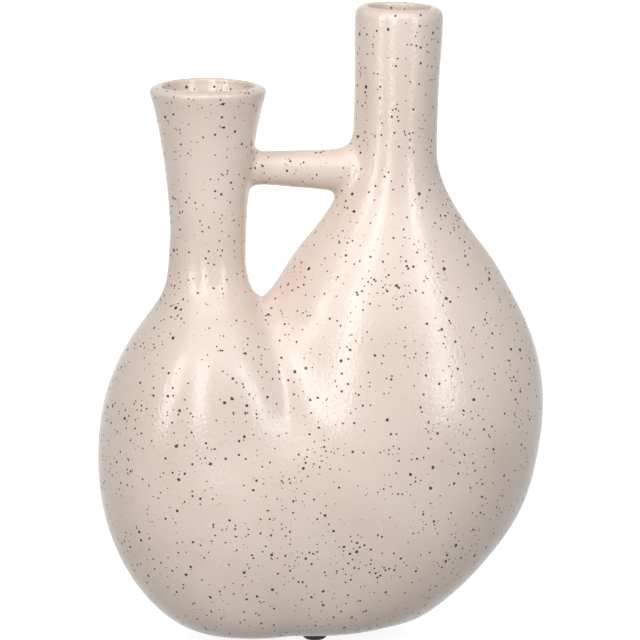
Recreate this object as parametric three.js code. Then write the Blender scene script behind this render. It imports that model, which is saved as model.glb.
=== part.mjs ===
// Two-necked ceramic vase
//
// A flattened, slip-cast belly divides at a saddle into two collars. A short neck with a flared
// mouth is luted on one collar and a tall, slightly leaning neck on the other. A solid bridge ties
// the two necks together above a finger gap. The bare foot stands on four domed rubber pads, each
// held by its own disc of adhesive.
//
// Units are millimetres. X runs from the short neck to the tall one, Y from front to back, Z up.
// The origin lies on the table, under the middle of the belly's box.

import * as THREE from "three";
import { mergeVertices } from "three/addons/utils/BufferGeometryUtils.js";

// Clay
const WALL = 5; // cast wall of the belly and the necks
const SLIP = 0.3; // layer of slip in each luted joint
const LIP_EDGE = 1.2; // radius of each lip's inner edge

// Belly, as seen from the front; heights are above the underside of the foot
const BELLY_WIDTH = 182;
const FOOT_X = -15; // middle of the flat foot
const FOOT_WIDTH = 66;
const FOOT_DEPTH = 36;
const FOOT_SPLIT = 26; // between the two lobes' centres at the foot
const WEB_AT_FOOT = 2; // width over which the two lobes run into each other, at the foot
const WEB_AT_BELLY = 30; // below the end of the valley between them
const WEB_IN_VALLEY = 5; // in that valley
const WEB_AT_SADDLE = 9.5; // and on the saddle between the necks
const VALLEY_END = 82; // height at which the valley runs out
const VALLEY_RAMP = 12; // above and below that height, over which it fades
const VALLEY_TOP = 138; // height at which the web is as wide as on the saddle

// Belly, as seen from the side
const DEPTH_HEIGHT = 80; // where the belly is deepest
const DEPTH_SWEEP = 24; // how far the outline runs out flat from the foot
const DEPTH_DROP = 52; // how far it stays full below the deepest place

// Lobe under the short neck
const SHORT_NECK_X = -46;
const SHORT_SHOULDER_HEIGHT = 135; // from here up, the lobe is centred under its neck
const SHORT_BELLY_HEIGHT = 70;
const SHORT_BELLY_DEPTH = 84;
const SHORT_BELLY_DROP = 42;
const SHORT_BELLY_RISE = 52; // how far the outline stays full above the widest place
const SHORT_FOOT_SWEEP = 16;
const SHORT_NECK_HEIGHT = 151; // where the shoulder has turned into the neck
const SHORT_NECK_WIDTH = 30;
const SHORT_NECK_TURN = 24; // how long the outline takes to turn into the neck
const SHORT_NECK_RUN = 25; // how long the neck stays straight
const SHORT_MOUTH_WIDTH = 47;
const SHORT_MOUTH_DEPTH = 48;
const SHORT_FLARE_RUN = 12; // length of the flare below the mouth
const SHORT_FLARE_OUT = 4.2; // how far the flare turns out over that length
const SHORT_HEIGHT = 221.2;
const SHORT_LIP_DROOP = 0.7; // the mouth's two ends hang lower than its front and back
const SHORT_LIP_ROUND = 2.4; // how far below its crest the lip's outside starts to turn in

// Lobe under the tall neck
const TALL_NECK_X = 26.3;
const TALL_SHOULDER_HEIGHT = 100;
const TALL_LEAN = 0.034; // sideways for each millimetre up
const TALL_BELLY_HEIGHT = 90;
const TALL_BELLY_DEPTH = 92;
const TALL_BELLY_DROP = 44;
const TALL_BELLY_RISE = 48;
const TALL_FOOT_SWEEP = 40;
const TALL_NECK_HEIGHT = 192;
const TALL_NECK_WIDTH = 34.5;
const TALL_NECK_TURN = 28;
const TALL_NECK_RUN = 25;
const TALL_MOUTH_WIDTH = 35;
const TALL_MOUTH_DEPTH = 35;
const TALL_FLARE_RUN = 12;
const TALL_FLARE_OUT = 0.3;
const TALL_HEIGHT = 250.6;
const TALL_LIP_ROUND = 4;

// Joints of the necks, above the saddle
const SHORT_COLLAR_RISE = 8;
const TALL_COLLAR_RISE = 24;

// Bridge between the necks, at the short neck and at the tall one
const BRIDGE_SHORT_HEIGHT = 187.5;
const BRIDGE_SHORT_DIAMETER = 13;
const BRIDGE_SHORT_FLARE = 2.5; // how far its fillet stands out from the bar
const BRIDGE_SHORT_FILLET = 5; // and how long it is
const BRIDGE_TALL_HEIGHT = 185.5;
const BRIDGE_TALL_DIAMETER = 17;
const BRIDGE_TALL_FLARE = 3.5;
const BRIDGE_TALL_FILLET = 7.5;

// Rubber pads under the foot
const PAD_DIAMETER = 10;
const PAD_HEIGHT = 2.5;
const PAD_FLAT_DIAMETER = 6; // the part of the dome that stands on the table
const PAD_EDGE = 0.8; // straight edge under the adhesive
const PADS_X = -5.5; // middle of the four pads
const PAD_SPREAD_X = 44; // between the left and right pads
const PAD_SPREAD_Y = 26; // between the front and back pads
const ADHESIVE_DIAMETER = 9;
const ADHESIVE_THICKNESS = 0.2;

// Facets
const HALF_SEGMENTS = 28; // round each lobe, and round each neck
const BELLY_ROWS = 20;
const ROW_SWEEP = 0.85 * Math.PI; // of the arc that spaces the belly's rows
const SHORT_COLLAR_ROWS = 2;
const TALL_COLLAR_ROWS = 5;
const NECK_ROWS = 18;
const LIP_ROWS = 4; // from each neck to the crest of its lip
const LIP_EDGE_ROWS = 3; // and from the crest into the mouth
const BRIDGE_SEGMENTS = 24;
const BRIDGE_ROWS = 20;
const SEAT_ROWS = 4; // on each end face of the bridge
const PAD_SEGMENTS = 24;
const PAD_ARC_ROWS = 5;
const OUTLINE_STEPS = 80; // along each of an outline's three curves

const FOOT_Z = PAD_HEIGHT + ADHESIVE_THICKNESS;
const FAR_OUT = BELLY_WIDTH; // no section reaches this far from its own centre
const TOUCH = 1e-6; // the two lobes' sections count as touching within this
const SOLVE_STEPS = 60; // halvings of a search range

// Colours and finishes
const glaze = { color: 0xe3cfc2, roughness: 0.32, metalness: 0 };
const rubber = { color: 0x1d1d1d, roughness: 0.85, metalness: 0 };
const adhesive = { color: 0xcfcabd, roughness: 0.5, metalness: 0 };

function namedMesh(name, geometry, finish) {
  geometry.computeVertexNormals();
  const mesh = new THREE.Mesh(geometry, new THREE.MeshStandardMaterial(finish));
  mesh.name = name;
  return mesh;
}

// Solves f(x) = 0 between low, where f is negative, and high, where it is positive
function solve(f, low, high) {
  let inside = low;
  let outside = high;
  for (let i = 0; i < SOLVE_STEPS; i += 1) {
    const middle = (inside + outside) / 2;
    if (f(middle) < 0) inside = middle;
    else outside = middle;
  }
  return (inside + outside) / 2;
}

// Outlines

// One side of a lobe from foot to mouth, as [distance, height] at four places: the foot, the belly,
// the neck and the mouth. The outline leaves the foot flat and passes the belly and neck upright.
function outline(places, runs) {
  const [foot, belly, neck, mouth] = places;
  const point = (distance, height) => new THREE.Vector2(distance, height);
  const lower = new THREE.CubicBezierCurve(
    point(foot[0], foot[1]),
    point(foot[0] + runs.sweep, foot[1]),
    point(belly[0], belly[1] - runs.drop),
    point(belly[0], belly[1]),
  );
  const shoulder = new THREE.CubicBezierCurve(
    point(belly[0], belly[1]),
    point(belly[0], belly[1] + runs.rise),
    point(neck[0], neck[1] - runs.turn),
    point(neck[0], neck[1]),
  );
  const flare = new THREE.CubicBezierCurve(
    point(neck[0], neck[1]),
    point(neck[0], neck[1] + runs.run),
    point(mouth[0] - runs.turnOut, mouth[1] - runs.flare),
    point(mouth[0], mouth[1]),
  );
  return [lower, shoulder, flare];
}

// Points along an outline, moved inwards by inset
function outlinePoints(curves, inset) {
  const points = [];
  for (const curve of curves) {
    for (let i = 0; i <= OUTLINE_STEPS; i += 1) {
      const t = i / OUTLINE_STEPS;
      const tangent = curve.getTangent(t);
      const inward = new THREE.Vector2(-tangent.y, tangent.x);
      points.push(curve.getPoint(t).addScaledVector(inward, inset));
    }
  }
  return points;
}

function distanceAt(points, height) {
  const next = points.findIndex((point) => point.y >= height);
  if (next === 0) return points[0].x;
  if (next < 0) return points[points.length - 1].x;
  const low = points[next - 1];
  const high = points[next];
  const share = (height - low.y) / (high.y - low.y);
  return low.x + (high.x - low.x) * share;
}

// Lobes

// A lobe is one bottle of the pair. side is the way from it to the other lobe along X.
function makeLobe(size) {
  const outer = -size.side;
  const mouthX = size.neckX + size.lean * (size.height - size.shoulder);
  const lipStart = size.height - size.lipRound;
  const front = outline(
    [
      [outer * FOOT_X + FOOT_WIDTH / 2, 0],
      [BELLY_WIDTH / 2, size.bellyHeight],
      [outer * (size.neckX + size.lean * (size.neckHeight - size.shoulder)) + size.neckWidth / 2,
        size.neckHeight],
      [outer * mouthX + size.mouthWidth / 2, lipStart],
    ],
    size,
  );
  const profile = outline(
    [
      [FOOT_DEPTH / 2, 0],
      [size.bellyDepth / 2, DEPTH_HEIGHT],
      [size.neckWidth / 2, size.neckHeight],
      [size.mouthDepth / 2, lipStart],
    ],
    { ...size, sweep: DEPTH_SWEEP, drop: DEPTH_DROP },
  );
  return { ...size, outer, front, profile, lipStart };
}

const shortLobe = makeLobe({
  side: 1,
  neckX: SHORT_NECK_X,
  shoulder: SHORT_SHOULDER_HEIGHT,
  lean: 0,
  bellyHeight: SHORT_BELLY_HEIGHT,
  bellyDepth: SHORT_BELLY_DEPTH,
  drop: SHORT_BELLY_DROP,
  rise: SHORT_BELLY_RISE,
  sweep: SHORT_FOOT_SWEEP,
  neckHeight: SHORT_NECK_HEIGHT,
  neckWidth: SHORT_NECK_WIDTH,
  turn: SHORT_NECK_TURN,
  run: SHORT_NECK_RUN,
  mouthWidth: SHORT_MOUTH_WIDTH,
  mouthDepth: SHORT_MOUTH_DEPTH,
  flare: SHORT_FLARE_RUN,
  turnOut: SHORT_FLARE_OUT,
  height: SHORT_HEIGHT,
  lipRound: SHORT_LIP_ROUND,
  droop: SHORT_LIP_DROOP,
  collarRows: SHORT_COLLAR_ROWS,
});

const tallLobe = makeLobe({
  side: -1,
  neckX: TALL_NECK_X,
  shoulder: TALL_SHOULDER_HEIGHT,
  lean: TALL_LEAN,
  bellyHeight: TALL_BELLY_HEIGHT,
  bellyDepth: TALL_BELLY_DEPTH,
  drop: TALL_BELLY_DROP,
  rise: TALL_BELLY_RISE,
  sweep: TALL_FOOT_SWEEP,
  neckHeight: TALL_NECK_HEIGHT,
  neckWidth: TALL_NECK_WIDTH,
  turn: TALL_NECK_TURN,
  run: TALL_NECK_RUN,
  mouthWidth: TALL_MOUTH_WIDTH,
  mouthDepth: TALL_MOUTH_DEPTH,
  flare: TALL_FLARE_RUN,
  turnOut: TALL_FLARE_OUT,
  height: TALL_HEIGHT,
  lipRound: TALL_LIP_ROUND,
  droop: 0,
  collarRows: TALL_COLLAR_ROWS,
});

// The line that a lobe's sections are centred on: from the foot it swings out under the neck,
// and above the shoulder it leans with the neck
function axisAt(lobe, height) {
  const footX = FOOT_X + (lobe.outer * FOOT_SPLIT) / 2;
  const share = THREE.MathUtils.smoothstep(height, 0, lobe.shoulder);
  const lean = lobe.lean * Math.max(height - lobe.shoulder, 0);
  return THREE.MathUtils.lerp(footX, lobe.neckX, share) + lean;
}

// The two lobes' sections, inset from the outside; section(lobe, height) is an ellipse
function sections(inset) {
  const points = new Map();
  for (const lobe of [shortLobe, tallLobe]) {
    points.set(lobe, {
      front: outlinePoints(lobe.front, inset),
      profile: outlinePoints(lobe.profile, inset),
    });
  }
  return (lobe, height) => {
    const x = axisAt(lobe, height);
    const { front, profile } = points.get(lobe);
    return {
      x,
      halfWidth: distanceAt(front, height) - lobe.outer * x,
      halfDepth: distanceAt(profile, height),
    };
  };
}

// Distance of a point from an ellipse, to first order, negative inside
function distanceFrom(ellipse, x, y) {
  const across = (x - ellipse.x) / ellipse.halfWidth;
  const deep = y / ellipse.halfDepth;
  const size = Math.hypot(across, deep);
  const slope = Math.hypot(across / ellipse.halfWidth, deep / ellipse.halfDepth);
  if (slope === 0) return -Math.min(ellipse.halfWidth, ellipse.halfDepth);
  return (size * (size - 1)) / slope;
}

// Union of two distances, rounded over a width
function blend(first, second, width) {
  const share = Math.max(width - Math.abs(first - second), 0) / width;
  return Math.min(first, second) - (share * share * width) / 4;
}

// Up to the valley's end the web fills the front and back. Above it the valley is narrow, and on the
// saddle it is round again.
function webAt(height) {
  const { lerp, smoothstep } = THREE.MathUtils;
  const bottom = VALLEY_END - VALLEY_RAMP;
  const top = VALLEY_END + VALLEY_RAMP;
  const low = lerp(WEB_AT_FOOT, WEB_AT_BELLY, smoothstep(height, 0, bottom));
  const high = lerp(WEB_IN_VALLEY, WEB_AT_SADDLE, smoothstep(height, top, VALLEY_TOP));
  return lerp(low, high, smoothstep(height, bottom, top));
}

// A level cut through both lobes: where it is split between them, and its distance field
function levelCut(section, height) {
  const short = section(shortLobe, height);
  const tall = section(tallLobe, height);
  const apart = (x) => distanceFrom(short, x, 0) - distanceFrom(tall, x, 0);
  const splitX = solve(apart, short.x, tall.x);
  const web = webAt(height);
  const field = (x, y) => blend(distanceFrom(short, x, y), distanceFrom(tall, x, y), web);
  return { short, tall, splitX, field, height };
}

// The height at which the hollow or the outside of the belly divides in two
function saddleHeight(section) {
  const open = (height) => {
    const cut = levelCut(section, height);
    return cut.field(cut.splitX, 0);
  };
  return solve(open, SHORT_BELLY_HEIGHT, SHORT_NECK_HEIGHT + SHORT_NECK_RUN);
}

// A level cut through one plain ellipse, such as a row of a lip
function plainCut(ellipse, lobe, height) {
  const splitX = ellipse.x + lobe.side * FAR_OUT;
  const field = (x, y) => distanceFrom(ellipse, x, y);
  return { short: ellipse, tall: ellipse, splitX, field, height };
}

// One lobe's share of a level cut, as points that start and end facing the other lobe.
// Below the saddle the row runs from groove to groove, and above it the row is a closed ring.
function lobeRow(cut, lobe) {
  const own = lobe === shortLobe ? cut.short : cut.tall;
  const toSplit = Math.abs(cut.splitX - own.x);
  const depth = cut.field(cut.splitX, 0);
  const grooveY = depth < -TOUCH ? solve((y) => cut.field(cut.splitX, y), 0, FAR_OUT) : 0;
  const start = Math.atan2(grooveY, toSplit);
  const row = [];
  for (let i = 0; i <= HALF_SEGMENTS; i += 1) {
    const angle = start + ((2 * Math.PI - 2 * start) * i) / HALF_SEGMENTS;
    const towards = Math.cos(angle);
    const dx = lobe.side * towards;
    const dy = lobe.side * Math.sin(angle);
    const limit = towards > 0 ? Math.min(toSplit / towards, FAR_OUT) : FAR_OUT;
    const reach = solve((r) => cut.field(own.x + dx * r, dy * r), 0, limit);
    row.push(new THREE.Vector3(own.x + dx * reach, dy * reach, cut.height));
  }
  if (depth < TOUCH) row[0].set(cut.splitX, lobe.side * grooveY, cut.height);
  row[HALF_SEGMENTS].copy(row[0]);
  if (grooveY > 0) row[HALF_SEGMENTS].y = -row[0].y;
  return row;
}

// Skins, as lists of triangle corners

function stitch(skin, lower, upper) {
  for (let i = 1; i < lower.length; i += 1) {
    skin.push(lower[i - 1], lower[i], upper[i]);
    skin.push(lower[i - 1], upper[i], upper[i - 1]);
  }
}

function stitchAll(skin, rows) {
  for (let i = 1; i < rows.length; i += 1) stitch(skin, rows[i - 1], rows[i]);
}

// A flat fan over a row, facing down
function fan(skin, centre, row) {
  for (let i = 1; i < row.length; i += 1) skin.push(centre, row[i], row[i - 1]);
}

function skinGeometry(skin) {
  return mergeVertices(new THREE.BufferGeometry().setFromPoints(skin));
}

// Belly

const outside = sections(0);
const inside = sections(WALL);
const outerSaddle = saddleHeight(outside);
const shortCollar = outerSaddle + SHORT_COLLAR_RISE;
const tallCollar = outerSaddle + TALL_COLLAR_RISE;

// One lobe's rows from bottom to collar, closest together at the foot
function bellyRows(section, lobe, bottom, collar) {
  const saddle = saddleHeight(section);
  const rise = (row) => 1 - Math.cos((ROW_SWEEP * row) / BELLY_ROWS);
  const heights = [];
  for (let i = 0; i <= BELLY_ROWS; i += 1) {
    heights.push(THREE.MathUtils.lerp(bottom, saddle, rise(i) / rise(BELLY_ROWS)));
  }
  for (let i = 1; i <= lobe.collarRows; i += 1) {
    heights.push(THREE.MathUtils.lerp(saddle, collar, i / lobe.collarRows));
  }
  return heights.map((height) => lobeRow(levelCut(section, height), lobe));
}

function makeBelly() {
  const skin = [];
  const underside = new THREE.Vector3(FOOT_X, 0, 0);
  const floor = new THREE.Vector3(FOOT_X, 0, WALL);
  for (const [lobe, collar] of [[shortLobe, shortCollar], [tallLobe, tallCollar]]) {
    const outer = bellyRows(outside, lobe, 0, collar);
    const inner = bellyRows(inside, lobe, WALL, collar).reverse();
    fan(skin, underside, outer[0]);
    stitchAll(skin, [...outer, ...inner]);
    fan(skin, floor, [...inner[inner.length - 1]].reverse());
  }
  return namedMesh("belly", skinGeometry(skin), glaze);
}

// Necks

// Tilts a neck's row with its lean and lets the ends of its mouth hang, more towards the mouth
function settleRow(row, lobe, collar) {
  const height = row[0].z;
  const share = THREE.MathUtils.smoothstep(height, collar, lobe.height);
  const axis = axisAt(lobe, height);
  for (const point of row) {
    const across = point.x - axis;
    const hang = lobe.droop * (across / (lobe.mouthWidth / 2)) ** 2;
    point.z -= share * (lobe.lean * across + hang);
  }
  return row;
}

// A lip has a broad round outside and a small one inside, and they meet at its crest
function lipRows(lobe) {
  const { lerp } = THREE.MathUtils;
  const outer = outside(lobe, lobe.lipStart);
  const inner = inside(lobe, lobe.lipStart);
  const crest = LIP_EDGE / WALL;
  const rows = [];
  const addRow = (share, height) => {
    const ellipse = {
      x: outer.x,
      halfWidth: lerp(inner.halfWidth, outer.halfWidth, share),
      halfDepth: lerp(inner.halfDepth, outer.halfDepth, share),
    };
    rows.push(lobeRow(plainCut(ellipse, lobe, height), lobe));
  };
  for (let i = 1; i <= LIP_ROWS; i += 1) {
    const angle = (Math.PI * i) / (2 * LIP_ROWS);
    addRow(lerp(crest, 1, Math.cos(angle)), lobe.height - lobe.lipRound * (1 - Math.sin(angle)));
  }
  for (let i = 1; i <= LIP_EDGE_ROWS; i += 1) {
    const angle = (Math.PI * i) / (2 * LIP_EDGE_ROWS);
    addRow(crest * (1 - Math.sin(angle)), lobe.height - LIP_EDGE * (1 - Math.cos(angle)));
  }
  return rows;
}

function neckRows(section, lobe, bottom) {
  const rows = [];
  for (let i = 0; i <= NECK_ROWS; i += 1) {
    const height = THREE.MathUtils.lerp(bottom, lobe.lipStart, i / NECK_ROWS);
    rows.push(lobeRow(levelCut(section, height), lobe));
  }
  return rows;
}

function makeNeck(name, lobe, collar) {
  const bottom = collar + SLIP;
  const outer = neckRows(outside, lobe, bottom);
  const inner = neckRows(inside, lobe, bottom).reverse();
  const rows = [...outer, ...lipRows(lobe), ...inner].map((row) => settleRow(row, lobe, bottom));
  const skin = [];
  stitchAll(skin, [...rows, rows[0]]);
  return namedMesh(name, skinGeometry(skin), glaze);
}

// Bridge

const bridgeEnds = {
  short: {
    lobe: shortLobe,
    height: BRIDGE_SHORT_HEIGHT,
    radius: BRIDGE_SHORT_DIAMETER / 2,
    flare: BRIDGE_SHORT_FLARE,
    fillet: BRIDGE_SHORT_FILLET,
  },
  tall: {
    lobe: tallLobe,
    height: BRIDGE_TALL_HEIGHT,
    radius: BRIDGE_TALL_DIAMETER / 2,
    flare: BRIDGE_TALL_FLARE,
    fillet: BRIDGE_TALL_FILLET,
  },
};

const aroundBridge = [];
for (let i = 0; i <= BRIDGE_SEGMENTS; i += 1) {
  const angle = (2 * Math.PI * (i % BRIDGE_SEGMENTS)) / BRIDGE_SEGMENTS;
  aroundBridge.push({ y: Math.cos(angle), z: Math.sin(angle) });
}

// The place on a neck, coated with slip, that faces the other neck
const coated = sections(-SLIP);
function seatPoint(end, y, height) {
  const section = coated(end.lobe, height);
  const across = section.halfWidth * Math.sqrt(1 - (y / section.halfDepth) ** 2);
  return new THREE.Vector3(section.x + end.lobe.side * across, y, height);
}

function seatRow(end, radius) {
  return aroundBridge.map((way) => seatPoint(end, way.y * radius, end.height + way.z * radius));
}

// Rows of a bridge's end face, from next to its middle out to the rim of its fillet
function seatRows(end) {
  const rows = [];
  for (let i = 1; i <= SEAT_ROWS; i += 1) {
    rows.push(seatRow(end, ((end.radius + end.flare) * i) / SEAT_ROWS));
  }
  return rows;
}

function filletAt(end, distance) {
  return end.flare * Math.max(1 - distance / end.fillet, 0) ** 2;
}

// A row of the tapered bar between the rims of its two fillets
function barRow(shortRim, tallRim, share) {
  const { short, tall } = bridgeEnds;
  const { lerp } = THREE.MathUtils;
  return aroundBridge.map((way, i) => {
    const x = lerp(shortRim[i].x, tallRim[i].x, share);
    const fillets = filletAt(short, x - shortRim[i].x) + filletAt(tall, tallRim[i].x - x);
    const radius = lerp(short.radius, tall.radius, share) + fillets;
    const height = lerp(short.height, tall.height, share);
    return new THREE.Vector3(x, way.y * radius, height + way.z * radius);
  });
}

function makeBridge() {
  const { short, tall } = bridgeEnds;
  const shortSeat = seatRows(short);
  const tallSeat = seatRows(tall).reverse();
  const bar = [];
  for (let i = 1; i < BRIDGE_ROWS; i += 1) {
    const share = (1 - Math.cos((Math.PI * i) / BRIDGE_ROWS)) / 2;
    bar.push(barRow(shortSeat[SEAT_ROWS - 1], tallSeat[0], share));
  }
  const skin = [];
  fan(skin, seatPoint(short, 0, short.height), shortSeat[0]);
  stitchAll(skin, [...shortSeat, ...bar, ...tallSeat]);
  fan(skin, seatPoint(tall, 0, tall.height), [...tallSeat[SEAT_ROWS - 1]].reverse());
  return namedMesh("bridge", skinGeometry(skin), glaze);
}

// Pads

// A closed profile of [radius, height] pairs, turned about Z
function turned(profile) {
  const points = profile.map(([radius, height]) => new THREE.Vector2(radius, height));
  return new THREE.LatheGeometry(points, PAD_SEGMENTS).rotateX(Math.PI / 2);
}

function padGeometry() {
  const flat = PAD_FLAT_DIAMETER / 2;
  const radius = PAD_DIAMETER / 2;
  const domeHeight = PAD_HEIGHT - PAD_EDGE;
  const profile = [[0, 0]];
  for (let i = 0; i <= PAD_ARC_ROWS; i += 1) {
    const angle = (Math.PI / 2) * (i / PAD_ARC_ROWS);
    profile.push([flat + (radius - flat) * Math.sin(angle), domeHeight * (1 - Math.cos(angle))]);
  }
  profile.push([radius, PAD_HEIGHT], [0, PAD_HEIGHT]);
  return turned(profile);
}

function adhesiveGeometry() {
  const radius = ADHESIVE_DIAMETER / 2;
  return turned([[0, 0], [radius, 0], [radius, ADHESIVE_THICKNESS], [0, ADHESIVE_THICKNESS]]);
}

function makePads() {
  const pads = new THREE.Group();
  const places = {
    front: [0, -PAD_SPREAD_Y / 2],
    back: [0, PAD_SPREAD_Y / 2],
    left: [-PAD_SPREAD_X / 2, 0],
    right: [PAD_SPREAD_X / 2, 0],
  };
  for (const [place, [x, y]] of Object.entries(places)) {
    const pad = namedMesh(`foot_pad_${place}`, padGeometry(), rubber);
    pad.position.set(x, y, 0);
    const disc = namedMesh(`pad_adhesive_${place}`, adhesiveGeometry(), adhesive);
    disc.position.set(x, y, PAD_HEIGHT);
    pads.add(pad, disc);
  }
  pads.position.x = PADS_X;
  return pads;
}

// Vase

const ceramic = new THREE.Group();
ceramic.position.z = FOOT_Z;
ceramic.add(
  makeBelly(),
  makeNeck("short_neck", shortLobe, shortCollar),
  makeNeck("tall_neck", tallLobe, tallCollar),
  makeBridge(),
);

const vase = new THREE.Group();
vase.add(ceramic, makePads());

export default vase;
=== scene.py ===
# %% [markdown]
# # A speckled vase with two necks
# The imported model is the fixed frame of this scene: every clay piece, pad and disc of adhesive is already
# at its place, in metres. The scene dresses that frame. It could start from nothing and measure the
# photograph again, but then the looks and the solids would drift apart, so every shape below starts from a
# node of the frame and keeps the node's place.

# %% Load the frame
import math

import bmesh
import bpy
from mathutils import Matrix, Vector
from mathutils.bvhtree import BVHTree
from mathutils.geometry import interpolate_bezier


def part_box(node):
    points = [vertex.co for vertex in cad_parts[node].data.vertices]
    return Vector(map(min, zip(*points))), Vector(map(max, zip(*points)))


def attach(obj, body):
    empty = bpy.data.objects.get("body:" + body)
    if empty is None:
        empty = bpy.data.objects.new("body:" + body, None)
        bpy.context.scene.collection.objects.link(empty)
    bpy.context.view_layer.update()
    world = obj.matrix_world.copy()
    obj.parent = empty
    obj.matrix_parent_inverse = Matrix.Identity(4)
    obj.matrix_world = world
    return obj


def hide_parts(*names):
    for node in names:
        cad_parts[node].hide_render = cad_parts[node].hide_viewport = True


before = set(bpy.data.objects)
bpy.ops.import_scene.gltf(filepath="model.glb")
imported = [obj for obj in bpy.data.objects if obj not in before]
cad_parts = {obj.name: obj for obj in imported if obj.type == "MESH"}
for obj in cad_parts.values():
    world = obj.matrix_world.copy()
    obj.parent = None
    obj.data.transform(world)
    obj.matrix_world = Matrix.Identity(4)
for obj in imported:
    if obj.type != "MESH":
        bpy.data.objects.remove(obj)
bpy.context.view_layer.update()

MM = 0.001
print("nodes:", ", ".join(sorted(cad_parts)))

# %% [markdown]
# ## The camera
# The photograph was taken from a little to the left of the front and from slightly above: both mouths show
# as thin ellipses. A long lens from far away keeps the two necks upright, as they are in the photograph. The
# camera could be placed by hand, but an azimuth, an elevation and a distance are easier to check.

# %% Camera
AIM = Vector((0, 0, 127.6 * MM))
AZIMUTH = math.radians(-11)
ELEVATION = math.radians(10)
CAMERA_DISTANCE = 2.5
FRAME_WIDTH = 256 * MM
SENSOR_WIDTH = 36
FRAME_PIXELS = 640
SHIFT_PIXELS = -2


def direction(azimuth, elevation):
    """The way from the vase to something around it. Azimuth 0 is the front, and more turns to the right."""
    level = math.cos(elevation)
    return Vector((math.sin(azimuth) * level, -math.cos(azimuth) * level, math.sin(elevation)))


def look(thing, azimuth, elevation, distance):
    """Puts a camera or a lamp around the vase and turns it to the aim."""
    way = direction(azimuth, elevation)
    thing.location = AIM + way * distance
    thing.rotation_euler = way.to_track_quat("Z", "Y").to_euler()
    bpy.context.scene.collection.objects.link(thing)


lens = bpy.data.cameras.new("camera")
lens.sensor_width = SENSOR_WIDTH
lens.lens = SENSOR_WIDTH * CAMERA_DISTANCE / FRAME_WIDTH
lens.shift_x = SHIFT_PIXELS / FRAME_PIXELS
camera = bpy.data.objects.new("camera", lens)
look(camera, AZIMUTH, ELEVATION, CAMERA_DISTANCE)
bpy.context.scene.camera = camera
print("camera lens %.1f mm" % lens.lens)

# %% [markdown]
# ## The clay, joined
# A potter casts the belly, makes the necks apart and lutes them on with slip. After firing no joint shows,
# because the glaze runs over it. The solids keep the clay pieces apart, so here they become one skin: the
# pieces are copied, the flat faces in each joint go, and the open rims are welded. Remeshing everything into
# small voxels would also join them, but it would lose the even rows of faces that make a smooth wall.

# %% Copy the clay pieces and weld their joints
SAME_POINT = 0.01 * MM
JOINT_REACH = 1.5 * MM
WELD_REACH = 0.9 * MM
NEARLY_LEVEL = 0.9
QUAD_ANGLE = math.radians(90)
EVEN_ROWS = 2.0


def copy_of(*names):
    """Copies nodes of the frame into one mesh, with their loose triangles joined at the corners."""
    shape = bmesh.new()
    for name in names:
        shape.from_mesh(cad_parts[name].data)
    bmesh.ops.remove_doubles(shape, verts=shape.verts, dist=SAME_POINT)
    shape.normal_update()
    return shape


def open_edges(shape):
    """How many edges of a mesh have a face on one side only."""
    return sum(edge.is_boundary for edge in shape.edges)


vessel = copy_of("belly", "short_neck", "tall_neck")
for neck in ("short_neck", "tall_neck"):
    joint_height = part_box(neck)[0].z
    inside_joint = [
        face
        for face in vessel.faces
        if abs(face.normal.z) > NEARLY_LEVEL
        and abs(face.calc_center_median().z - joint_height) < JOINT_REACH
    ]
    bmesh.ops.delete(vessel, geom=inside_joint, context="FACES")
    print(neck, "joint opened:", len(inside_joint), "faces")

bmesh.ops.join_triangles(
    vessel,
    faces=vessel.faces,
    angle_face_threshold=QUAD_ANGLE,
    angle_shape_threshold=QUAD_ANGLE,
    topology_influence=EVEN_ROWS,
)
rims = [vert for vert in vessel.verts if vert.is_boundary]
bmesh.ops.remove_doubles(vessel, verts=rims, dist=WELD_REACH)
print("clay skin:", len(vessel.faces), "faces,", open_edges(vessel), "open edges")

# %% [markdown]
# ## The marks of the hand
# The solids follow smooth formulas. The real vase was shaped by hand, and in a few places its outline in the
# photograph lies one or two millimetres off them. Soft presses bring the skin there: each one carries the
# clay around a place with it, most in the middle and less and less outwards. A sculpted copy would do the
# same, but it could not be read as a list of sizes.

# %% Press the clay
PRESSES = (
    # name, middle, move, and how far around the clay follows, in millimetres
    ("saddle", (-22, 0, 138), (-0.8, 0, -1.0), 13),
    ("right side of the notch", (-16.5, 0, 143), (0.9, 0, -0.4), 9),
    ("left side of the tall lobe", (-8, 0, 153), (-1.3, 0, 0.5), 18),
    ("lower right side", (80, 0, 49), (1.8, 0, -0.5), 30),
    ("right of the foot", (36, -6, 7), (0.4, 0, -1.5), 19),
    ("root of the short neck", (-61, 0, 152), (-1.2, 0, 0), 16),
    ("right shoulder", (71, 0, 152), (0.9, 0, 0.4), 18),
)

for name, middle, move, reach in PRESSES:
    pressed = 0
    for vert in vessel.verts:
        share = 1 - ((vert.co / MM - Vector(middle)).length / reach) ** 2
        if share > 0:
            vert.co += Vector(move) * MM * share ** 2
            pressed += 1
    print(name, "pressed:", pressed, "corners")

# %% [markdown]
# ## The bridge grows out of the necks
# The bar between the necks is no rod pushed into holes: the wet clay is drawn out of both necks and smoothed
# with a finger, so each end spreads into the wall, most of all upwards. A boolean union would leave a sharp
# seam. Instead a patch of sixteen faces is cut from each neck, its rim is set on an upright oval, and the two
# rims are bridged. The bar's radius and the size of its spread ends are measured on the frame's own bridge.

# %% Measure the bridge on the frame
STATION_SHARE = 0.12
UP = Vector((0, 0, 1))


def tree_of(name):
    """A search tree over the solid of a node, to cast rays at."""
    shape = copy_of(name)
    tree = BVHTree.FromBMesh(shape)
    shape.free()
    return tree


bar_low, bar_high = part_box("bridge")
bar_tree = tree_of("bridge")
bar_middle = (bar_low + bar_high) / 2
bar_length = bar_high.x - bar_low.x


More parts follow.
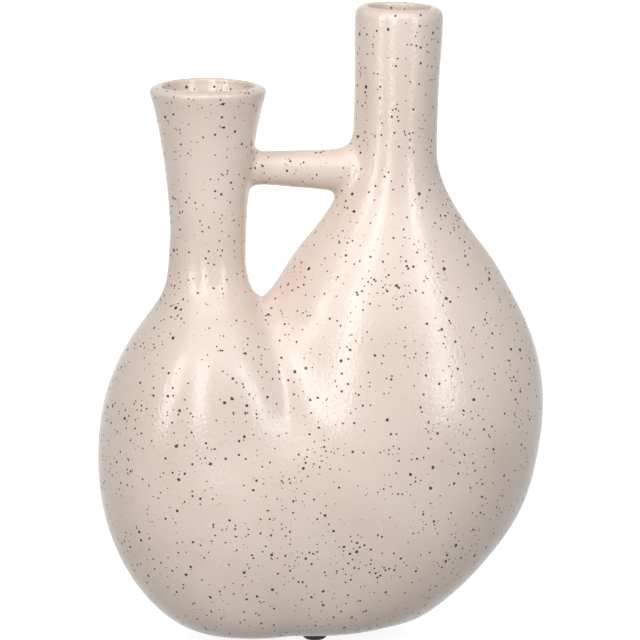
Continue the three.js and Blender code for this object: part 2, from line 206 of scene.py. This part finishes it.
def bar_section(x):
    """The bar's middle height and its radius at one place along it."""
    top = bar_tree.ray_cast(Vector((x, 0, bar_high.z + bar_length)), -UP)[0].z
    bottom = bar_tree.ray_cast(Vector((x, 0, bar_low.z - bar_length)), UP)[0].z
    return (top + bottom) / 2, (top - bottom) / 2


station_a = bar_middle.x - STATION_SHARE * bar_length
station_b = bar_middle.x + STATION_SHARE * bar_length
height_a, radius_a = bar_section(station_a)
height_b, radius_b = bar_section(station_b)


def along(x, a, b):
    """Carries a measure on in a straight line from the two stations."""
    return a + (b - a) * (x - station_a) / (station_b - station_a)


def bar_height(x):
    """The height of the bar's middle line at one place along it."""
    return along(x, height_a, height_b)


def around(point):
    """The angle of a point around the bar."""
    return math.atan2(point.z - bar_height(point.x), point.y)


print("bar radius %.1f to %.1f mm" % (radius_a / MM, radius_b / MM))

# %% The two ends of the bar
SHORT_FILLET = 6.5 * MM
TALL_FILLET = 9.5 * MM
SHORT_RINGS = 4
TALL_RINGS = 5
# the ovals are shares of the frame's own spread: to the side, up and down
SHORT_OVAL = (1.0, 1.16, 1.18)
TALL_OVAL = (0.96, 1.28, 1.12)
TO_SHORT = Vector((-1, 0, 0))


class End:
    """One end of the bar: the neck it grows from, the upright oval it meets it in, and its fillet."""

    def __init__(self, neck, way, oval, fillet, rings):
        self.neck = neck
        self.way = way
        self.fillet = fillet
        self.rings = rings
        self.wall = tree_of(neck)
        spread = max(
            math.hypot(vert.co.y, vert.co.z - bar_height(vert.co.x))
            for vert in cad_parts["bridge"].data.vertices
            if (vert.co.x - bar_middle.x) * way.x > 0
        )
        self.side, self.up, self.down = (spread * share for share in oval)
        self.middle = self.on_wall(0, bar_middle.z)
        self.middle.z = bar_height(self.middle.x)
        print(neck, "end spreads %.1f mm to the side, %.1f up" % (self.side / MM, self.up / MM))

    def on_wall(self, y, z):
        """The place on the neck's wall that faces the bar at this depth and height."""
        return self.wall.ray_cast(Vector((bar_middle.x, y, z)), self.way)[0]

    def corner(self, angle, share=1.0):
        """A place on the oval, or on a smaller oval inside it."""
        high = self.up if math.sin(angle) > 0 else self.down
        return self.on_wall(
            math.cos(angle) * self.side * share, self.middle.z + math.sin(angle) * high * share
        )


ends = (
    End("short_neck", TO_SHORT, SHORT_OVAL, SHORT_FILLET, SHORT_RINGS),
    End("tall_neck", -TO_SHORT, TALL_OVAL, TALL_FILLET, TALL_RINGS),
)

# %% Open an oval patch in each neck
PATCH_GROWTH = 1
CORNERS = 16
CORNER_STEP = 2 * math.pi / CORNERS
RELAX_STEPS = 8
RELAX_RINGS = 2
RELAX_SHARE = 0.5


def faces_on(verts):
    return {face for vert in verts for face in vert.link_faces}


def verts_on(faces):
    return {vert for face in faces for vert in face.verts}


def open_patch(end):
    """Cuts the patch that faces the bar, sets its rim on the oval and evens the rows around it."""
    centre = min(vessel.verts, key=lambda vert: (vert.co - end.middle).length)
    patch = faces_on([centre])
    for _ in range(PATCH_GROWTH):
        patch = faces_on(verts_on(patch))
    inner = {vert for vert in verts_on(patch) if all(face in patch for face in vert.link_faces)}
    loop = sorted(verts_on(patch) - inner, key=lambda vert: around(vert.co))
    bmesh.ops.delete(vessel, geom=list(patch), context="FACES")
    first = round(around(loop[0].co) / CORNER_STEP)
    for number, vert in enumerate(loop):
        vert.co = end.corner((first + number) * CORNER_STEP)
    ring = set(loop)
    near = set()
    for _ in range(RELAX_RINGS):
        near |= verts_on(faces_on(ring | near)) - ring
    for _ in range(RELAX_STEPS):
        bmesh.ops.smooth_vert(
            vessel,
            verts=list(near),
            factor=RELAX_SHARE,
            use_axis_x=True,
            use_axis_y=True,
            use_axis_z=True,
        )
        for vert in near:
            vert.co = end.wall.find_nearest(vert.co)[0]
    print(end.neck, "patch opened:", len(loop), "corners on an oval")
    return [e for e in vessel.edges if e.is_boundary and e.verts[0] in ring and e.verts[1] in ring]


rim_edges = [edge for end in ends for edge in open_patch(end)]

# %% Draw the bar from rim to rim
MIDDLE_RINGS = 3
INSIDE_SHARE = 0.85
PULL = 0.5


def on_bar(x, angle):
    """A place on the straight part of the bar."""
    radius = along(x, radius_a, radius_b)
    return Vector((x, math.cos(angle) * radius, bar_height(x) + math.sin(angle) * radius))


def fillet(end, angle):
    """One row of corners from a neck to the straight bar: it leaves the neck along the neck's own wall."""
    start = end.corner(angle)
    stop = on_bar(end.middle.x - end.way.x * end.fillet, angle)
    pull = (stop - start).length * PULL
    leave = (end.corner(angle, INSIDE_SHARE) - start).normalized() * pull
    return interpolate_bezier(start, start + leave, stop + end.way * pull, stop, end.rings + 1)[1:]


bridged = bmesh.ops.bridge_loops(vessel, edges=rim_edges)
cut = bmesh.ops.subdivide_edges(
    vessel,
    edges=bridged["edges"],
    cuts=SHORT_RINGS + MIDDLE_RINGS + TALL_RINGS,
    use_grid_fill=True,
)
bar_rows = {}
for item in cut["geom_inner"]:
    if isinstance(item, bmesh.types.BMVert):
        bar_rows.setdefault(round(around(item.co) / CORNER_STEP) % CORNERS, []).append(item)
for number, row in bar_rows.items():
    angle = number * CORNER_STEP
    first, last = (fillet(end, angle) for end in ends)
    gap = last[-1].x - first[-1].x
    straight = [
        on_bar(first[-1].x + gap * ring / (MIDDLE_RINGS + 1), angle)
        for ring in range(1, MIDDLE_RINGS + 1)
    ]
    row.sort(key=lambda vert: vert.co.x)
    for vert, spot in zip(row, first + straight + last[::-1]):
        vert.co = spot
bmesh.ops.recalc_face_normals(vessel, faces=vessel.faces)
print("bar drawn:", len(bar_rows), "rows;", open_edges(vessel), "open edges")

# %% [markdown]
# ## From mesh to piece
# A finished piece stays at the origin with its place in its mesh, rides on the only body of the vase and
# hides the nodes it stands for. The vessel keeps a light mesh and gets its smooth wall from a Subdivision
# Surface: the real wall is cast and sponged clay, with no flat facets.

# %% Make the vessel
VESSEL_LEVELS = 2
PLAIN_LAYERS = {"position", ".edge_verts", ".corner_vert", ".corner_edge"}


def piece_from(shape, name, slot, *nodes):
    """Turns a bmesh into a smooth-shaded piece of the vase."""
    mesh = bpy.data.meshes.new(name)
    shape.to_mesh(mesh)
    shape.free()
    for layer in [a.name for a in mesh.attributes if a.name not in PLAIN_LAYERS]:
        mesh.attributes.remove(mesh.attributes[layer])
    mesh.shade_smooth()
    piece = bpy.data.objects.new(name, mesh)
    bpy.context.scene.collection.objects.link(piece)
    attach(piece, "root")
    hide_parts(*nodes)
    print(name, "has", len(mesh.polygons), "faces")
    return piece


glazed_vessel = piece_from(
    vessel, "glazed_vessel", "glaze", "belly", "short_neck", "tall_neck", "bridge"
)
smooth_wall = glazed_vessel.modifiers.new("smooth_wall", "SUBSURF")
smooth_wall.levels = VESSEL_LEVELS
smooth_wall.render_levels = VESSEL_LEVELS

# %% [markdown]
# ## Rubber bumpers
# A stick-on bumper is cast rubber: a flat back that takes the adhesive, a short straight edge, and a dome
# that is flat where it stands. A cylinder would miss the dome, so half of its outline is drawn, with a
# quarter of an ellipse for the dome, and spun. A small bevel rounds the edge at the back.

# %% Make the bumpers
BUMPER_STEPS = 48
BUMPER_EDGE = 0.3 * MM
BUMPER_FLAT = 0.4
DOME_STEPS = 10
BACK_ROUND = 0.12 * MM
ROUND_SEGMENTS = 3
ROUND_PROFILE = 0.5
SIDES = ("front", "back", "left", "right")


def ring_edges(shape, height, radius, middle):
    """The edges of the ring that lies at one height and radius."""
    found = []
    for edge in shape.edges:
        spots = [vert.co - middle for vert in edge.verts]
        if all(
            abs(spot.z - height) < SAME_POINT and abs(spot.xy.length - radius) < SAME_POINT
            for spot in spots
        ):
            found.append(edge)
    return found


def bumper_outline(radius, height):
    """Half of a bumper's outline, from the middle of the back over the dome to the middle of the flat."""
    flat = radius * BUMPER_FLAT
    outline = [(0, height), (radius, height)]
    for step in range(DOME_STEPS + 1):
        angle = step / DOME_STEPS * math.pi / 2
        out = flat + (radius - flat) * math.cos(angle)
        outline.append((out, (height - BUMPER_EDGE) * (1 - math.sin(angle))))
    return outline + [(0, 0)]


def make_bumper(side):
    """Spins one bumper at the place and in the size of its node."""
    low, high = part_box("foot_pad_" + side)
    middle = Vector(((low.x + high.x) / 2, (low.y + high.y) / 2, low.z))
    radius = (high.x - low.x) / 2
    height = high.z - low.z
    shape = bmesh.new()
    corners = [
        shape.verts.new(middle + Vector((out, 0, up))) for out, up in bumper_outline(radius, height)
    ]
    edges = [shape.edges.new(pair) for pair in zip(corners, corners[1:])]
    bmesh.ops.spin(
        shape,
        geom=corners + edges,
        cent=middle,
        axis=UP,
        angle=2 * math.pi,
        steps=BUMPER_STEPS,
        use_merge=True,
    )
    bmesh.ops.remove_doubles(shape, verts=shape.verts, dist=SAME_POINT)
    bmesh.ops.recalc_face_normals(shape, faces=shape.faces)
    bmesh.ops.bevel(
        shape,
        geom=ring_edges(shape, height, radius, middle),
        offset=BACK_ROUND,
        offset_type="OFFSET",
        affect="EDGES",
        segments=ROUND_SEGMENTS,
        profile=ROUND_PROFILE,
    )
    return piece_from(shape, "rubber_bumper_" + side, "rubber", "foot_pad_" + side)


bumpers = [make_bumper(side) for side in SIDES]

# %% [markdown]
# ## Writing finishes as sums
# A finish is a tree of shader nodes. Wiring each Math node by hand hides the idea, so a small class wraps a
# socket and lets Python's operators add the Math nodes. A second class makes any other node from its type,
# its settings and what goes into its sockets.

# %% A socket that can stand in a sum


def plug(tree, item, socket):
    """Links a value to a socket, or sets the socket to a number."""
    if isinstance(item, Value):
        tree.links.new(item.socket, socket)
    else:
        socket.default_value = item


class Value:
    """An output socket that can stand in a sum."""

    def __init__(self, tree, socket):
        self.tree = tree
        self.socket = socket

    def maths(self, operation, *items):
        """One Math node, with the items in its sockets."""
        node = self.tree.nodes.new("ShaderNodeMath")
        node.operation = operation
        for item, socket in zip(items, node.inputs):
            plug(self.tree, item, socket)
        return Value(self.tree, node.outputs[0])

    def __add__(self, other):
        return self.maths("ADD", self, other)

    def __rsub__(self, other):
        return self.maths("SUBTRACT", other, self)

    def __mul__(self, other):
        return self.maths("MULTIPLY", self, other)

    def __lt__(self, other):
        return self.maths("LESS_THAN", self, other)

    def most(self, other):
        return self.maths("MAXIMUM", self, other)


# %% A finish as a list of steps
SOFT_DETAIL = 2
MIX_SHARE = 0
MIX_UNDER = 6
MIX_OVER = 7
MIX_COLOUR = 2


class Finish:
    """The nodes of a material or of the world, written as a list of steps."""

    def __init__(self, owner):
        self.tree = owner.node_tree
        self.tree.nodes.clear()

    def node(self, kind, settings, sockets, *outs):
        """Any node: its type, its settings, what goes into its sockets, and the outputs that are wanted."""
        node = self.tree.nodes.new(kind)
        for name, setting in settings.items():
            setattr(node, name, setting)
        for name, item in sockets.items():
            plug(self.tree, item, node.inputs[name])
        # with none named, the first output is wanted, and the last node of a tree has no outputs at all
        wanted = outs or range(len(node.outputs))[:1]
        found = [Value(self.tree, node.outputs[out]) for out in wanted]
        return found[0] if len(found) == 1 else found

    def place(self):
        return self.node("ShaderNodeTexCoord", {}, {}, "Object")

    def noise(self, place, size, detail=SOFT_DETAIL, out="Fac"):
        """Soft clouds whose patches are about this size."""
        return self.node(
            "ShaderNodeTexNoise", {}, {"Vector": place, "Scale": 1 / size, "Detail": detail}, out
        )

    def ramp(self, value, low, high, to_low=0, to_high=1):
        """Carries a value smoothly from one range to another."""
        return self.node(
            "ShaderNodeMapRange",
            {"interpolation_type": "SMOOTHSTEP"},
            {"Value": value, "From Min": low, "From Max": high, "To Min": to_low, "To Max": to_high},
        )

    def blend(self, share, under, over):
        """Lays one colour over another."""
        sockets = {MIX_SHARE: share, MIX_UNDER: under, MIX_OVER: over}
        return self.node("ShaderNodeMix", {"data_type": "RGBA"}, sockets, MIX_COLOUR)

    def bump(self, height, depth):
        """A fine relief of this depth."""
        return self.node("ShaderNodeBump", {}, {"Height": height, "Distance": depth, "Strength": 1.0})

    def output(self, shader, kind="ShaderNodeOutputMaterial"):
        self.node(kind, {}, {"Surface": shader})


# %% Colours and materials
COLOUR_STEPS = 255
CURVE_START = 0.04045
CURVE_SLOPE = 12.92
CURVE_SHIFT = 0.055
CURVE_POWER = 2.4


def srgb(red, green, blue):
    """A colour as a colour picker gives it, as the light that the shader needs."""

    def light(step):
        share = step / COLOUR_STEPS
        if share <= CURVE_START:
            return share / CURVE_SLOPE
        return ((share + CURVE_SHIFT) / (1 + CURVE_SHIFT)) ** CURVE_POWER

    return (light(red), light(green), light(blue), 1)


def new_material(name):
    material = bpy.data.materials.new(name)
    material.use_nodes = True
    return material


def dress(pieces, material):
    """Gives pieces one finish in place of what they had."""
    for piece in pieces:
        piece.data.materials.clear()
        piece.data.materials.append(material)


# %% [markdown]
# ## The speckled glaze
# The glaze is a satin pink-beige. Grains of iron in the clay melt through it as brown-black specks, most of
# them half a millimetre across, some over a millimetre, in loose clusters. A painted picture would repeat and
# smear over the lips. Grains are round things in space, so they are made as such: a Voronoi texture scatters
# points through the clay, and wherever the wall cuts the small ball around a point, a speck shows. Three
# sizes of grain, each with its own chance, give the mix. The wall also has a fine eggshell texture.

# %% The iron grains
CLUSTER_SIZE = 13 * MM
CLUSTER_RANGE = (0.3, 0.7)
CLUSTER_CROWDING = (0.35, 1.65)
WOBBLE_SIZE = 0.9 * MM
WOBBLE_REACH = 0.5 * MM
WOBBLE_DETAIL = 1
SMALLEST_GRAIN = 0.45
PALEST_GRAIN = 0.7
GRAIN_EDGE_OUT = 1.1
GRAIN_EDGE_IN = 0.8
GRAINS = (
    # size of a cell, radius of a grain, chance of a grain, strength of its colour
    (4.4 * MM, 0.78 * MM, 0.55, 1.0),
    (2.6 * MM, 0.58 * MM, 0.56, 1.0),
    (1.8 * MM, 0.42 * MM, 0.3, 0.95),
)


def grains(finish, place, density, cell, radius, chance, strength):
    """A mask of specks of one size, and how dark each one is."""
    distance, dice = finish.node(
        "ShaderNodeTexVoronoi", {}, {"Vector": place, "Scale": 1 / cell}, "Distance", "Color"
    )
    present, size, dark = finish.node(
        "ShaderNodeSeparateColor", {}, {"Color": dice}, "Red", "Green", "Blue"
    )
    reach = (size * (1 - SMALLEST_GRAIN) + SMALLEST_GRAIN) * (radius / cell)
    disc = finish.ramp(distance, reach * GRAIN_EDGE_OUT, reach * GRAIN_EDGE_IN)
    here = present < density * chance
    return disc * here * (dark * (1 - PALEST_GRAIN) + PALEST_GRAIN) * strength


def all_grains(finish, place):
    """The specks of all sizes, with outlines that wobble a little, in loose clusters."""
    wobble = finish.noise(place, WOBBLE_SIZE, WOBBLE_DETAIL, "Color")
    bent = finish.node(
        "ShaderNodeVectorMath",
        {"operation": "MULTIPLY_ADD"},
        {0: wobble, 1: (WOBBLE_REACH,) * 3, 2: place},
    )
    density = finish.ramp(finish.noise(place, CLUSTER_SIZE), *CLUSTER_RANGE, *CLUSTER_CROWDING)
    layers = [grains(finish, bent, density, *row) for row in GRAINS]
    specks = layers[0]
    for layer in layers[1:]:
        specks = specks.most(layer)
    return specks


# %% The glaze over the clay
GLAZE_LIGHT = srgb(229, 212, 199)
GLAZE_DEEP = srgb(221, 202, 188)
GLAZE_PINK = srgb(227, 207, 197)
SPECK_DARK = srgb(34, 21, 15)
SPECK_BROWN = srgb(88, 62, 48)
BARE_CLAY = srgb(196, 176, 158)
CLOUD_SIZE = 38 * MM
CLOUD_RANGE = (0.3, 0.7)
MOTTLE_SIZE = 5 * MM
MOTTLE_DETAIL = 3
PINK_RANGE = (0.35, 0.75)
PINK_SHARE = 0.5
BROWN_RANGE = (0.0, 0.45)
DARK_RANGE = (0.35, 0.85)
FOOT_LINE = 0.35 * MM
EGGSHELL_SIZE = 1.4 * MM
EGGSHELL_DEPTH = 0.14 * MM
EGGSHELL_DETAIL = 4
GLAZE_ROUGHNESS = 0.2
MOTTLE_ROUGHNESS = 0.1
SPECK_ROUGHNESS = 0.25
BARE_ROUGHNESS = 0.4
GLAZE_GLOSS = 0.65

glaze = new_material("speckled_glaze")
finish = Finish(glaze)
place = finish.place()
height = finish.node("ShaderNodeSeparateXYZ", {}, {"Vector": place}, "Z")
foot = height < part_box("belly")[0].z + FOOT_LINE
cloud = finish.noise(place, CLOUD_SIZE)
mottle = finish.noise(place, MOTTLE_SIZE, MOTTLE_DETAIL)
specks = all_grains(finish, place)

colour = finish.blend(finish.ramp(cloud, *CLOUD_RANGE), GLAZE_LIGHT, GLAZE_DEEP)
colour = finish.blend(finish.ramp(mottle, *PINK_RANGE) * PINK_SHARE, colour, GLAZE_PINK)
colour = finish.blend(finish.ramp(specks, *BROWN_RANGE), colour, SPECK_BROWN)
colour = finish.blend(finish.ramp(specks, *DARK_RANGE), colour, SPECK_DARK)
colour = finish.blend(foot, colour, BARE_CLAY)

even_roughness = mottle * MOTTLE_ROUGHNESS + (GLAZE_ROUGHNESS - MOTTLE_ROUGHNESS / 2)
eggshell = finish.noise(place, EGGSHELL_SIZE, EGGSHELL_DETAIL)
shader = finish.node(
    "ShaderNodeBsdfPrincipled",
    {},
    {
        "Base Color": colour,
        "Roughness": even_roughness + specks * SPECK_ROUGHNESS + foot * BARE_ROUGHNESS,
        "Specular IOR Level": GLAZE_GLOSS,
        "Normal": finish.bump(eggshell, EGGSHELL_DEPTH),
    },
)
finish.output(shader)
dress([glazed_vessel], glaze)
print("glaze nodes:", len(glaze.node_tree.nodes))

# %% [markdown]
# ## Rubber and adhesive
# The bumpers are black cast rubber with a faintly grained, dull skin. The discs that hold them are thin,
# milky and slightly shiny adhesive, of which only the edge shows from below. Both could be one flat colour,
# but a flat black reads as a hole, so both get soft clouds of tone and a fine bump.

# %% Rubber and adhesive
RUBBER_DARK = srgb(22, 22, 23)
RUBBER_WORN = srgb(46, 45, 44)
RUBBER_PATCH = 2.5 * MM
RUBBER_ROUGHNESS = 0.5
ADHESIVE_PALE = srgb(214, 209, 196)
ADHESIVE_DEEP = srgb(190, 183, 166)
ADHESIVE_PATCH = 1.5 * MM
ADHESIVE_ROUGHNESS = 0.3
PATCH_RANGE = (0.35, 0.75)
PATCH_ROUGHNESS = 0.2
GRAIN_SIZE = 0.3 * MM
GRAIN_DEPTH = 0.02 * MM


def soft_finish(name, patch, first, second, roughness):
    """A dull moulded finish: two tones in soft patches and a fine grain."""
    material = new_material(name)
    finish = Finish(material)
    place = finish.place()
    patches = finish.noise(place, patch)
    shader = finish.node(
        "ShaderNodeBsdfPrincipled",
        {},
        {
            "Base Color": finish.blend(finish.ramp(patches, *PATCH_RANGE), first, second),
            "Roughness": patches * PATCH_ROUGHNESS + roughness,
            "Normal": finish.bump(finish.noise(place, GRAIN_SIZE), GRAIN_DEPTH),
        },
    )
    finish.output(shader)
    return material


rubber = soft_finish("black_rubber", RUBBER_PATCH, RUBBER_DARK, RUBBER_WORN, RUBBER_ROUGHNESS)
adhesive = soft_finish(
    "milky_adhesive", ADHESIVE_PATCH, ADHESIVE_PALE, ADHESIVE_DEEP, ADHESIVE_ROUGHNESS
)
dress(bumpers, rubber)
dress([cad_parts["pad_adhesive_" + side] for side in SIDES], adhesive)
print("finishes:", rubber.name, adhesive.name)

# %% [markdown]
# ## The studio
# The photograph has a white ground. Three tall, narrow soft boxes, two on the left and one on the right, draw
# the long upright highlights on the necks and lobes, a broad one above lights the shoulders, and a broad one
# behind the vase lights its back. The last one stands where the lips would mirror it into the camera and burn
# out, so it is kept out of reflections.
#
# Still more light could make the ground white, but it would burn the pale glaze out. So the white comes from
# the ground itself: near the vase it glows a little below white for the camera, and the light that falls on
# it does the rest, so that the shadow under the vase stays. Further away the glow grows to full white.

# %% Floor and backdrop
FLOOR_SIZE = 6.0
FLOOR_PALE = (0.25, 0.248, 0.245, 1)
FLOOR_GLOW = 0.9
SHADOW_REACH = 0.15
WHITE_FROM = 0.6
WHITE = (1, 1, 1, 1)
ROOM_LIGHT = 0.04

floor_shape = bmesh.new()
bmesh.ops.create_grid(floor_shape, x_segments=1, y_segments=1, size=FLOOR_SIZE)
floor_mesh = bpy.data.meshes.new("floor")
floor_shape.to_mesh(floor_mesh)
floor_shape.free()
floor = bpy.data.objects.new("floor", floor_mesh)
bpy.context.scene.collection.objects.link(floor)


def seen_directly(finish):
    """1 for rays from the camera, and for those that a shiny or clear surface sends on."""
    camera_ray, shiny, clear = finish.node(
        "ShaderNodeLightPath", {}, {}, "Is Camera Ray", "Is Glossy Ray", "Is Transmission Ray"
    )
    return camera_ray.most(shiny).most(clear)


floor_material = new_material("pale_floor")
finish = Finish(floor_material)
away = finish.node("ShaderNodeVectorMath", {"operation": "LENGTH"}, {0: finish.place()}, "Value")
strength = finish.ramp(away, SHADOW_REACH, WHITE_FROM, FLOOR_GLOW, 1)
glow = finish.node(
    "ShaderNodeEmission", {}, {"Color": WHITE, "Strength": seen_directly(finish) * strength}
)
paint = finish.node("ShaderNodeBsdfDiffuse", {}, {"Color": FLOOR_PALE})
both = finish.node("ShaderNodeAddShader", {}, {0: glow, 1: paint})
finish.output(both)
dress([floor], floor_material)

world = bpy.data.worlds.new("studio")
world.use_nodes = True
bpy.context.scene.world = world
finish = Finish(world)
seen = seen_directly(finish)
backdrop = finish.node(
    "ShaderNodeBackground", {}, {"Color": WHITE, "Strength": seen + (1 - seen) * ROOM_LIGHT}
)
finish.output(backdrop, "ShaderNodeOutputWorld")
print("floor and backdrop ready")

# %% Lamps
NEUTRAL = (1, 1, 1)
COOL = (0.93, 0.96, 1)
LAMPS = (
    # name, degrees right of the camera, degrees up, distance, width and height in metres, watts, colour
    ("far_left_soft_box", -46, 16, 1.7, 0.16, 1.5, 8.8, NEUTRAL),
    ("near_left_soft_box", -14, 16, 1.7, 0.16, 1.5, 9.6, NEUTRAL),
    ("right_soft_box", 43, 16, 1.7, 0.24, 1.5, 9.0, COOL),
    ("top_soft_box", 2, 55, 1.1, 1.4, 1.0, 7.2, NEUTRAL),
    ("back_fill", 180, 16, 1.7, 1.2, 0.8, 23.0, NEUTRAL),
)
NO_REFLECTION = "back_fill"

for name, turn, lift, distance, width, tall, watts, colour in LAMPS:
    light = bpy.data.lights.new(name, "AREA")
    light.shape = "RECTANGLE"
    light.size = width
    light.size_y = tall
    light.energy = watts
    light.color = colour
    lamp = bpy.data.objects.new(name, light)
    lamp.visible_glossy = name != NO_REFLECTION
    look(lamp, AZIMUTH + math.radians(turn), math.radians(lift), distance)
bpy.context.scene.view_settings.view_transform = "Standard"
print("lamps:", ", ".join(row[0] for row in LAMPS))
